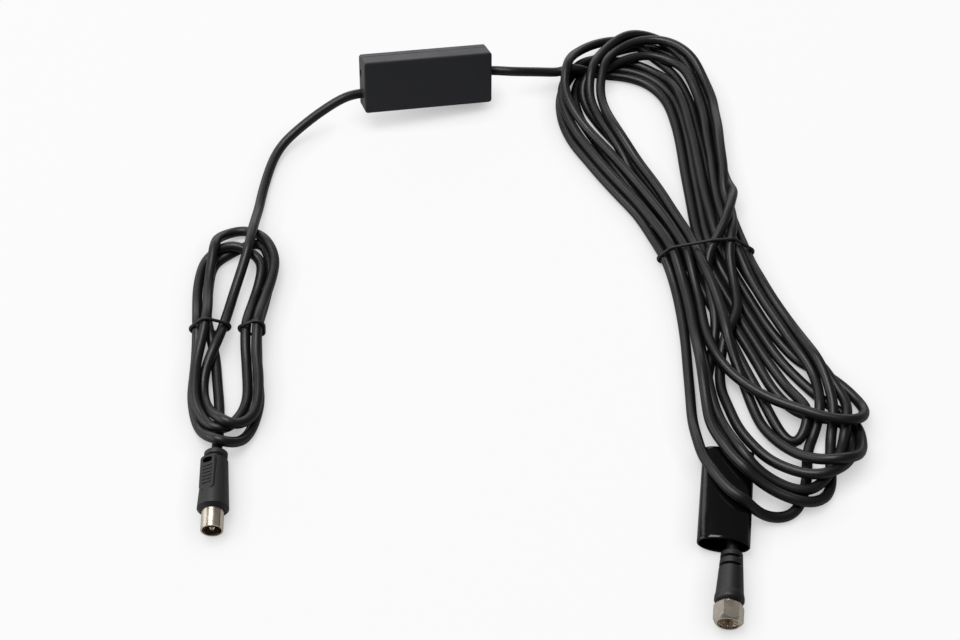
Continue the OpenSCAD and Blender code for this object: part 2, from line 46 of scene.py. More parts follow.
def linear(colour):
    """An sRGB hex colour as linear red, green, blue and alpha"""
    parts = [int(colour[i:i + 2], 16) / 255 for i in (1, 3, 5)]
    return [c / 12.92 if c <= 0.04045 else ((c + 0.055) / 1.055) ** 2.4 for c in parts] + [1]


def new_material(name):
    """A material with one Principled shader, and its node tree and shader"""
    material = bpy.data.materials.new(name)
    material.use_nodes = True
    return material, material.node_tree, material.node_tree.nodes["Principled BSDF"]


def add_node(tree, kind, inputs, **settings):
    """Adds a node: its settings by name, its inputs by name or number as values or links"""
    node = tree.nodes.new(kind)
    for name, value in settings.items():
        setattr(node, name, value)
    for name, value in inputs.items():
        if isinstance(value, bpy.types.NodeSocket):
            tree.links.new(value, node.inputs[name])
        else:
            node.inputs[name].default_value = value
    return node


def dress(material, *names):
    """Gives CAD nodes a material, through their slots"""
    for name in names:
        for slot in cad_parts[name].material_slots:
            slot.material = material


def moulded_abs():
    """Spark-textured ABS: a grain that breaks up the sheen, drawn coarser than it is so that it shows"""
    material, tree, shader = new_material("moulded_abs_black")
    place = add_node(tree, "ShaderNodeTexCoord", {})
    grain = add_node(tree, "ShaderNodeTexNoise",
                     {"Vector": place.outputs["Object"], "Scale": 1 / 0.00035, "Detail": 3.0,
                      "Roughness": 0.6})
    cloud = add_node(tree, "ShaderNodeTexNoise",
                     {"Vector": place.outputs["Object"], "Scale": 1 / 0.012, "Detail": 2.0})
    rough = add_node(tree, "ShaderNodeMapRange",
                     {"Value": cloud.outputs["Fac"], "From Min": 0.3, "From Max": 0.7,
                      "To Min": 0.44, "To Max": 0.54})
    tint = add_node(tree, "ShaderNodeMixRGB",
                    {"Fac": grain.outputs["Fac"], "Color1": linear("#1b1c20"), "Color2": linear("#25262b")})
    bump = add_node(tree, "ShaderNodeBump",
                    {"Height": grain.outputs["Fac"], "Strength": 0.35, "Distance": 0.00005})
    tree.links.new(tint.outputs["Color"], shader.inputs["Base Color"])
    tree.links.new(rough.outputs["Result"], shader.inputs["Roughness"])
    tree.links.new(bump.outputs["Normal"], shader.inputs["Normal"])
    shader.inputs["IOR"].default_value = 1.54
    return material


dress(moulded_abs(), "front_shell", "back_cover")

# Amplifier board: a small circuit board in the front shell, with a tin-plated screening can, a chip, two
# ring inductors and an electrolytic capacitor soldered to it. Folded clamps grip the braid of each lead.


def solder_resist():
    """Green lacquer over copper: the tracks show through it as a paler green"""
    material, tree, shader = new_material("solder_resist_green")
    place = add_node(tree, "ShaderNodeTexCoord", {})
    tracks = add_node(tree, "ShaderNodeTexBrick",
                      {"Vector": place.outputs["Object"], "Color1": linear("#14552b"),
                       "Color2": linear("#0e4522"), "Mortar": linear("#0a3519"), "Scale": 1 / 0.004,
                       "Mortar Size": 0.12, "Brick Width": 0.9, "Row Height": 0.3})
    tree.links.new(tracks.outputs["Color"], shader.inputs["Base Color"])
    shader.inputs["Roughness"].default_value = 0.3
    return material


def tinned_steel():
    """Hot-dipped tin: bright, with soft clouds where it froze"""
    material, tree, shader = new_material("tinned_steel")
    place = add_node(tree, "ShaderNodeTexCoord", {})
    cloud = add_node(tree, "ShaderNodeTexNoise",
                     {"Vector": place.outputs["Object"], "Scale": 1 / 0.003, "Detail": 3.0})
    rough = add_node(tree, "ShaderNodeMapRange",
                     {"Value": cloud.outputs["Fac"], "To Min": 0.22, "To Max": 0.42})
    tree.links.new(rough.outputs["Result"], shader.inputs["Roughness"])
    shader.inputs["Base Color"].default_value = linear("#c4c3bd")
    shader.inputs["Metallic"].default_value = 1.0
    return material


def plain_plastic(name, colour, roughness):
    """A plain moulded plastic with a faint cloud in its tone"""
    material, tree, shader = new_material(name)
    place = add_node(tree, "ShaderNodeTexCoord", {})
    cloud = add_node(tree, "ShaderNodeTexNoise",
                     {"Vector": place.outputs["Object"], "Scale": 1 / 0.002})
    tint = add_node(tree, "ShaderNodeHueSaturation", {"Color": linear(colour)})
    value = add_node(tree, "ShaderNodeMapRange",
                     {"Value": cloud.outputs["Fac"], "To Min": 0.8, "To Max": 1.2})
    tree.links.new(value.outputs["Result"], tint.inputs["Value"])
    tree.links.new(tint.outputs["Color"], shader.inputs["Base Color"])
    shader.inputs["Roughness"].default_value = roughness
    return material


dress(solder_resist(), "circuit_board")
dress(tinned_steel(), "shield_can", "braid_clamps")
dress(plain_plastic("chip_resin_black", "#19191a", 0.7), "amplifier_chip")
dress(plain_plastic("ferrite_grey", "#4b4641", 0.6), "ring_inductors")
dress(plain_plastic("capacitor_sleeve_blue", "#16233f", 0.3), "electrolytic_capacitor")

# Power socket: a black nylon barrel in the left end of the box with a tinned brass pin in its middle.
# Nylon moulds glossier than the shells around it.


def glossy_nylon():
    """Nylon, smooth from a polished mould"""
    material, _, shader = new_material("nylon_black")
    shader.inputs["Base Color"].default_value = linear("#0c0c0d")
    shader.inputs["Roughness"].default_value = 0.3
    shader.inputs["IOR"].default_value = 1.53
    return material


def nickel_plate():
    """Nickel on turned brass: warm, with a slight tarnish in soft clouds"""
    material, tree, shader = new_material("nickel_plate")
    place = add_node(tree, "ShaderNodeTexCoord", {})
    cloud = add_node(tree, "ShaderNodeTexNoise",
                     {"Vector": place.outputs["Object"], "Scale": 1 / 0.004, "Detail": 4.0})
    tint = add_node(tree, "ShaderNodeMixRGB",
                    {"Fac": cloud.outputs["Fac"], "Color1": linear("#dbd0be"), "Color2": linear("#ece2d2")})
    rough = add_node(tree, "ShaderNodeMapRange",
                     {"Value": cloud.outputs["Fac"], "To Min": 0.2, "To Max": 0.36})
    tree.links.new(tint.outputs["Color"], shader.inputs["Base Color"])
    tree.links.new(rough.outputs["Result"], shader.inputs["Roughness"])
    shader.inputs["Metallic"].default_value = 1.0
    return material


nickel = nickel_plate()
dress(glossy_nylon(), "dc_jack")
dress(nickel, "dc_jack_pin")

# Left lead: coaxial lead with an extruded PVC jacket, from the box through a hank of three and a half
# turns to the push-in plug. Its route outside the hank is the part's own.
LEAD_D = 0.0047
LEAD_SIDES = 16
BOX_LEAN = math.radians(23.4)
BOX_ROLL = math.radians(6.1)
BOX_Z = 0.0180622


def box_point(x, y, z):
    """A point given in the leaning box's own axes, in the row's frame"""
    depth = y * math.cos(BOX_LEAN) + z * math.sin(BOX_LEAN)
    up = z * math.cos(BOX_LEAN) - y * math.sin(BOX_LEAN)
    return (x * math.cos(BOX_ROLL) + up * math.sin(BOX_ROLL), depth,
            BOX_Z - x * math.sin(BOX_ROLL) + up * math.cos(BOX_ROLL))


def along(at, turn, reach):
    """A point on the axis of a lead end that faces the front, turned by some degrees"""
    angle = math.radians(turn)
    return (at[0] - reach * math.sin(angle), at[1] - reach * math.cos(angle), at[2])


POINT_GAP = 0.002
CURVE_STEPS = 24


def smooth_line(points):
    """A smooth curve through the points, as new points that are all the same distance apart"""
    points = np.asarray(points, float)
    gaps = np.linalg.norm(np.diff(points, axis=0), axis=1)
    curve = []
    for i in range(len(points) - 1):
        a, b = points[i], points[i + 1]
        before = points[max(i - 1, 0)]
        after = points[min(i + 2, len(points) - 1)]
        leave = (b - before) * gaps[i] / (gaps[i] + (gaps[i - 1] if i else 0))
        arrive = (after - a) * gaps[i] / (gaps[i] + (gaps[i + 1] if i + 1 < len(gaps) else 0))
        t = np.linspace(0, 1, CURVE_STEPS, endpoint=False)[:, None]
        curve.append((2 * t ** 3 - 3 * t ** 2 + 1) * a + (t ** 3 - 2 * t ** 2 + t) * leave
                     + (3 * t ** 2 - 2 * t ** 3) * b + (t ** 3 - t ** 2) * arrive)
    curve = np.vstack(curve + [points[-1:]])
    run = np.r_[0, np.cumsum(np.linalg.norm(np.diff(curve, axis=0), axis=1))]
    place = np.linspace(0, run[-1], int(run[-1] / POINT_GAP) + 1)
    return np.stack([np.interp(place, run, curve[:, k]) for k in range(3)], 1)


def soften(line, passes):
    """Evens out a line of points, as bending stiffness does, with its ends kept"""
    for _ in range(passes):
        line = np.vstack([line[:1], 0.25 * line[:-2] + 0.5 * line[1:-1] + 0.25 * line[2:], line[-1:]])
    return line


def close_pairs(line, reach, apart):
    """Pairs of points on the line that are closer than reach, but not neighbours on it"""
    size = (line ** 2).sum(1)
    first, second = np.nonzero(size[:, None] + size[None, :] - 2 * line @ line.T < reach ** 2)
    keep = second - first > apart
    return first[keep], second[keep]


# Settling goes step by step: close strands are looked for every few steps, a little further than they
# touch and past each point's own neighbours, and a push spreads along the lead as far as its stiffness does.
SETTLE_STEPS = 260
LOOK_EVERY = 6
LOOK_BEYOND = 0.0025
NEIGHBOURS = 6
LEAST_GAP = 0.0003
SIDEWAYS_SHARE = 0.7
SINK = 0.000012
STIFFNESS = 10
GAIN = 1.6
KEEP_TO_ROUTE = 0.9


def free_share(count, fixed, fade):
    """How freely each point moves: 0 over the fixed points at both ends, rising to 1 over the next ones"""
    place = np.arange(count)
    leaving = np.clip((place - fixed[0]) / fade[0], 0, 1)
    arriving = np.clip((count - fixed[1] - place) / fade[1], 0, 1)
    return leaving * arriving


def settle(line, floor, free):
    """Lets a folded lead sink onto the floor, while strands that lie in each other push apart"""
    shift = np.zeros_like(line)
    for step in range(SETTLE_STEPS):
        place = line + shift
        if step % LOOK_EVERY == 0:
            a, b = close_pairs(place, LEAD_D + LOOK_BEYOND, NEIGHBOURS)
        gap = place[b] - place[a]
        far = np.linalg.norm(gap, axis=1)
        push = np.clip(LEAD_D - far, 0, None)
        move = gap * (push / np.maximum(far, LEAST_GAP) / 2 * push)[:, None]
        total = np.zeros_like(line)
        weight = np.zeros(len(line))
        np.add.at(total, a, -move)
        np.add.at(total, b, move)
        np.add.at(weight, a, push)
        np.add.at(weight, b, push)
        total /= np.maximum(weight, 1e-9)[:, None]
        total[:, :2] *= SIDEWAYS_SHARE
        total[:, 2] -= SINK
        shift = shift + soften(total, STIFFNESS) * GAIN
        shift[:, :2] *= KEEP_TO_ROUTE
        shift[:, 2] += np.clip(floor - (line + shift)[:, 2], 0, None)
        shift = soften(shift, 1) * free[:, None]
    return line + shift


def rod_tree():
    """Geometry Nodes: a round rod that follows a chain of edges, with its radius, sides and finish"""
    tree = bpy.data.node_groups.new("rod_along_path", "GeometryNodeTree")
    for name, kind in (("Path", "Geometry"), ("Radius", "Float"), ("Sides", "Int"), ("Finish", "Material")):
        tree.interface.new_socket(name=name, in_out="INPUT", socket_type="NodeSocket" + kind)
    tree.interface.new_socket(name="Rod", in_out="OUTPUT", socket_type="NodeSocketGeometry")
    given = add_node(tree, "NodeGroupInput", {})
    path = add_node(tree, "GeometryNodeMeshToCurve", {"Mesh": given.outputs["Path"]})
    ring = add_node(tree, "GeometryNodeCurvePrimitiveCircle",
                    {"Resolution": given.outputs["Sides"], "Radius": given.outputs["Radius"]})
    rod = add_node(tree, "GeometryNodeCurveToMesh",
                   {"Curve": path.outputs["Curve"], "Profile Curve": ring.outputs["Curve"],
                    "Fill Caps": True})
    smooth = add_node(tree, "GeometryNodeSetShadeSmooth", {"Geometry": rod.outputs["Mesh"]})
    real = add_node(tree, "GeometryNodeRealizeInstances", {"Geometry": smooth.outputs["Geometry"]})
    finish = add_node(tree, "GeometryNodeSetMaterial",
                      {"Geometry": real.outputs["Geometry"], "Material": given.outputs["Finish"]})
    add_node(tree, "NodeGroupOutput", {"Rod": finish.outputs["Geometry"]})
    return tree


def grow(piece, tree, **sizes):
    """Runs a Geometry Nodes tree on a piece and keeps the result as its plain mesh"""
    change = piece.modifiers.new("grow", "NODES")
    change.node_group = tree
    for socket in tree.interface.items_tree:
        if socket.in_out == "INPUT" and socket.name in sizes:
            change[socket.identifier] = sizes[socket.name]
    bpy.context.view_layer.update()
    made = bpy.data.meshes.new_from_object(piece.evaluated_get(bpy.context.evaluated_depsgraph_get()))
    piece.modifiers.clear()
    piece.data = made


def add_object(name, data):
    """A new object in the scene, made of a mesh, a lamp or a camera"""
    new = bpy.data.objects.new(name, data)
    bpy.context.scene.collection.objects.link(new)
    return new


rod_along_path = rod_tree()


def tube(name, line, radius, sides, finish, closed=False):
    """A round rod along a line of points"""
    edges = [(i, i + 1) for i in range(len(line) - 1)]
    if closed:
        edges.append((len(line) - 1, 0))
    mesh = bpy.data.meshes.new(name)
    mesh.from_pydata(line.tolist(), edges, [])
    piece = add_object(name, mesh)
    grow(piece, rod_along_path, Radius=radius, Sides=sides, Finish=finish)
    return piece


def pvc_jacket():
    """Extruded PVC: half gloss, clouded by handling, with a grain drawn coarse enough to show"""
    material, tree, shader = new_material("pvc_jacket_black")
    place = add_node(tree, "ShaderNodeTexCoord", {})
    rub = add_node(tree, "ShaderNodeTexNoise",
                   {"Vector": place.outputs["Object"], "Scale": 1 / 0.02, "Detail": 4.0,
                    "Roughness": 0.6})
    fine = add_node(tree, "ShaderNodeTexNoise",
                    {"Vector": place.outputs["Object"], "Scale": 1 / 0.0008, "Detail": 2.0})
    rough = add_node(tree, "ShaderNodeMapRange",
                     {"Value": rub.outputs["Fac"], "From Min": 0.3, "From Max": 0.7,
                      "To Min": 0.34, "To Max": 0.46})
    tint = add_node(tree, "ShaderNodeMixRGB",
                    {"Fac": rub.outputs["Fac"], "Color1": linear("#0d0d0f"), "Color2": linear("#151518")})
    bump = add_node(tree, "ShaderNodeBump",
                    {"Height": fine.outputs["Fac"], "Strength": 0.15, "Distance": 0.00003})
    tree.links.new(tint.outputs["Color"], shader.inputs["Base Color"])
    tree.links.new(rough.outputs["Result"], shader.inputs["Roughness"])
    tree.links.new(bump.outputs["Normal"], shader.inputs["Normal"])
    shader.inputs["IOR"].default_value = 1.53
    shader.inputs["Specular IOR Level"].default_value = 0.42
    return material


jacket = pvc_jacket()
left_start = [
    box_point(-0.02375, 0.00225, -0.0058), box_point(-0.03375, 0.00225, -0.0058),
    (-0.0400, -0.0015, 0.0165), (-0.0460, -0.0030, 0.0155), (-0.0520, -0.0045, 0.0135),
    (-0.0580, -0.0060, 0.0110), (-0.0640, -0.0080, 0.0085), (-0.0700, -0.0105, 0.0060),
    (-0.0750, -0.0135, 0.0045), (-0.0800, -0.0185, 0.0032), (-0.0840, -0.0250, 0.0026),
    (-0.0880, -0.0340, 0.0024), (-0.0915, -0.0430, 0.0025), (-0.0945, -0.0525, 0.0034),
    (-0.0970, -0.0605, 0.0052), (-0.0987, -0.0670, 0.0069)]
# The hank's turns, as the middle of the lead before it settles
left_turns = [
    (-0.1015, -0.0765, 0.0095), (-0.1045, -0.0850, 0.0110), (-0.1135, -0.1025, 0.0085),
    (-0.1180, -0.1130, 0.0075), (-0.1260, -0.1330, 0.0070), (-0.1345, -0.1485, 0.0040),
    (-0.1355, -0.1635, 0.0035), (-0.1290, -0.1790, 0.0070), (-0.1235, -0.1810, 0.0055),
    (-0.1150, -0.1750, 0.0060), (-0.1105, -0.1560, 0.0065), (-0.1095, -0.1430, 0.0065),
    (-0.1050, -0.1225, 0.0060), (-0.1020, -0.1155, 0.0055), (-0.0945, -0.0975, 0.0045),
    (-0.0925, -0.0875, 0.0045), (-0.0945, -0.0785, 0.0045), (-0.1035, -0.0655, 0.0025),
    (-0.1150, -0.0685, 0.0030), (-0.1190, -0.0775, 0.0060), (-0.1250, -0.0980, 0.0060),
    (-0.1285, -0.1195, 0.0060), (-0.1360, -0.1400, 0.0065), (-0.1390, -0.1535, 0.0065),
    (-0.1400, -0.1635, 0.0055), (-0.1380, -0.1715, 0.0045), (-0.1350, -0.1780, 0.0060),
    (-0.1315, -0.1805, 0.0070), (-0.1280, -0.1795, 0.0060), (-0.1180, -0.1660, 0.0025),
    (-0.1150, -0.1475, 0.0025), (-0.1135, -0.1340, 0.0025), (-0.1105, -0.1205, 0.0025),
    (-0.1055, -0.1080, 0.0025), (-0.0990, -0.0935, 0.0040), (-0.0995, -0.0865, 0.0055),
    (-0.1085, -0.0785, 0.0070), (-0.1205, -0.0770, 0.0025), (-0.1250, -0.0805, 0.0025),
    (-0.1305, -0.0965, 0.0025), (-0.1325, -0.1155, 0.0025), (-0.1365, -0.1365, 0.0025),
    (-0.1395, -0.1500, 0.0025), (-0.1410, -0.1580, 0.0025), (-0.1400, -0.1750, 0.0025),
    (-0.1320, -0.1885, 0.0070), (-0.1220, -0.1860, 0.0030), (-0.1125, -0.1680, 0.0025),
    (-0.1110, -0.1540, 0.0025), (-0.1090, -0.1400, 0.0025), (-0.1070, -0.1285, 0.0025),
    (-0.1000, -0.1080, 0.0025), (-0.0965, -0.0965, 0.0025), (-0.0955, -0.0775, 0.0025),
    (-0.0990, -0.0740, 0.0025), (-0.1190, -0.0810, 0.0025), (-0.1225, -0.0860, 0.0025),
    (-0.1275, -0.1065, 0.0025), (-0.1290, -0.1155, 0.0025), (-0.1280, -0.1305, 0.0025),
    (-0.1280, -0.1395, 0.0025), (-0.1290, -0.1525, 0.0025), (-0.1300, -0.1660, 0.0025),
    (-0.1320, -0.1780, 0.0025)]
PLUG_AT = (-0.1345, -0.1917, 0.0069)
PLUG_TURN = 10.6
LEAD_IN_PLUG = 0.0144
left_end = [(-0.1334, -0.1868, 0.0056), (-0.1340, -0.1895, 0.0065), along(PLUG_AT, PLUG_TURN, 0.0),
            along(PLUG_AT, PLUG_TURN, LEAD_IN_PLUG)]
# Ties, as x, y, turn in degrees and the width in which a tie catches strands
LEFT_TIES = [(-0.1272, -0.1226, 9.0, 0.022), (-0.1092, -0.1282, 22.0, 0.017)]
TIE_D = 0.0015
TIE_FIELD = 0.045
TIE_SLOPE = 0.011


def lie_on(line, ties):
    """Height of the lead's centre over the floor: its radius, and a tie's wire where one is under it"""
    floor = np.full(len(line), LEAD_D / 2)
    for x, y, turn, _ in ties:
        angle = math.radians(turn)
        away = (line[:, 0] - x) * math.sin(angle) + (line[:, 1] - y) * math.cos(angle)
        near = np.hypot(line[:, 0] - x, line[:, 1] - y) < TIE_FIELD
        floor += np.where(near, TIE_D * np.exp(-(away / TIE_SLOPE) ** 2), 0)
    return floor


LEFT_HANK_FROM = 0.078
ROUTE_PASSES = 6
left_line = soften(smooth_line(left_start + left_turns + left_end), ROUTE_PASSES)
free = free_share(len(left_line), fixed=(int(LEFT_HANK_FROM / POINT_GAP), 12), fade=(12, 8))
left_line = settle(left_line, np.where(free > 0, lie_on(left_line, LEFT_TIES), 0), free)
left_lead = tube("left_lead_jacket", left_line, LEAD_D / 2, LEAD_SIDES, jacket)
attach(left_lead, "lead")
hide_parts("left_lead", "left_hank", "left_tail")

# Left ties: two short plastic-covered wires, each bent round a few strands of the left hank and twisted
# shut where it doesn't show. They only reach round the strands that they hold.
TIE_SIDES = 12
TIE_STEP = 0.0008
STRAND_SIDES = 40
LEAST_LEAN = 0.6


def hull(points):
    """The convex outline of a set of flat points, anticlockwise"""
    points = sorted(map(tuple, points))
    sides = []
    for order in (points, points[::-1]):
        chain = []
        for p in order:
            while len(chain) > 1 and ((chain[-1][0] - chain[-2][0]) * (p[1] - chain[-2][1])
                                      - (chain[-1][1] - chain[-2][1]) * (p[0] - chain[-2][0])) <= 0:
                chain.pop()
            chain.append(p)
        sides += chain[:-1]
    return np.array(sides)


def tie_round(name, line, tie, finish):
    """A wire pulled round the strands that cross a plane, as close as their round sides let it"""
    x, y, turn, width = tie
    middle = np.array([x, y, 0.0])
    angle = math.radians(turn)
    across = np.array([math.cos(angle), -math.sin(angle), 0.0])
    ahead = np.array([math.sin(angle), math.cos(angle), 0.0])
    off = (line - middle) @ ahead
    ring = []
    for i in np.nonzero(off[:-1] * off[1:] < 0)[0]:
        leg = line[i + 1] - line[i]
        spot = line[i] + leg * off[i] / (off[i] - off[i + 1])
        slide = (spot - middle) @ across
        if abs(slide) < width / 2:
            lean = abs(leg @ ahead) / np.linalg.norm(leg)
            for a in np.linspace(0, 2 * math.pi, STRAND_SIDES, endpoint=False):
                ring.append((slide + (LEAD_D / 2 / max(lean, LEAST_LEAN) + TIE_D / 2) * math.cos(a),
                             spot[2] + (LEAD_D / 2 + TIE_D / 2) * math.sin(a)))
    outline = hull(ring)
    outline = np.vstack([outline, outline[:1]])
    run = np.r_[0, np.cumsum(np.linalg.norm(np.diff(outline, axis=0), axis=1))]
    place = np.linspace(0, run[-1], int(run[-1] / TIE_STEP), endpoint=False)
    flat = np.stack([np.interp(place, run, outline[:, k]) for k in range(2)], 1)
    path = middle + flat[:, :1] * across + flat[:, 1:] * np.array([0.0, 0.0, 1.0])
    return tube(name, path, TIE_D / 2, TIE_SIDES, finish, closed=True)


def tie_plastic():
    """Extruded plastic over wire: dull, and uneven where the wire was bent"""
    material, tree, shader = new_material("tie_plastic_black")
    place = add_node(tree, "ShaderNodeTexCoord", {})
    cloud = add_node(tree, "ShaderNodeTexNoise",
                     {"Vector": place.outputs["Object"], "Scale": 1 / 0.0012, "Detail": 3.0})
    rough = add_node(tree, "ShaderNodeMapRange",
                     {"Value": cloud.outputs["Fac"], "To Min": 0.4, "To Max": 0.62})
    bump = add_node(tree, "ShaderNodeBump",
                    {"Height": cloud.outputs["Fac"], "Strength": 0.3, "Distance": 0.00005})
    tree.links.new(rough.outputs["Result"], shader.inputs["Roughness"])
    tree.links.new(bump.outputs["Normal"], shader.inputs["Normal"])
    shader.inputs["Base Color"].default_value = linear("#121213")
    return material


covered_wire = tie_plastic()
for name, tie in zip(("left_tie_outer", "left_tie_inner"), LEFT_TIES):
    piece = tie_round(name + "_wire", left_line, tie, covered_wire)
    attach(piece, "lead")
    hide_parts(name)

# Push-in plug: a soft PVC moulding over a nickel-plated brass ferrule, slit down one side so that it
# springs, with a brown insulator and a hollow pin in its middle.


def moulded_pvc():
    """Soft matt PVC with the mould's satin grain, drawn coarser than it is so that it shows"""
    material, tree, shader = new_material("moulded_pvc_black")
    place = add_node(tree, "ShaderNodeTexCoord", {})
    grain = add_node(tree, "ShaderNodeTexNoise",
                     {"Vector": place.outputs["Object"], "Scale": 1 / 0.0003, "Detail": 3.0})
    rough = add_node(tree, "ShaderNodeMapRange",
                     {"Value": grain.outputs["Fac"], "To Min": 0.42, "To Max": 0.56})
    bump = add_node(tree, "ShaderNodeBump",
                    {"Height": grain.outputs["Fac"], "Strength": 0.25, "Distance": 0.00004})
    tree.links.new(rough.outputs["Result"], shader.inputs["Roughness"])
    tree.links.new(bump.outputs["Normal"], shader.inputs["Normal"])
    shader.inputs["Base Color"].default_value = linear("#101012")
    shader.inputs["IOR"].default_value = 1.53
    return material


plug_pvc = moulded_pvc()
dress(plug_pvc, "plug_body")
dress(nickel, "plug_ferrule", "plug_pin")
dress(plain_plastic("insulator_brown", "#8a7058", 0.5), "plug_insulator")


# Right lead: the same coaxial lead, folded into a long hank of seven turns. Its tail comes out under the
# hank, runs through the weather sleeve and ends in the screw-on connector.
CONN_AT = (0.0662, -0.2899, 0.0066509)
CONN_TURN = 21.4
SLEEVE_AT = (0.0640, -0.2855)
SLEEVE_L = 0.048
SLEEVE_W = 0.0222
MOUTH_H = 0.0125
REAR_H = 0.0082
BEFORE_MOUTH = 0.002
BEHIND_REAR = 0.001
right_start = [
    box_point(0.02375, 0.00225, 0.0005), box_point(0.03375, 0.00225, 0.0005)]
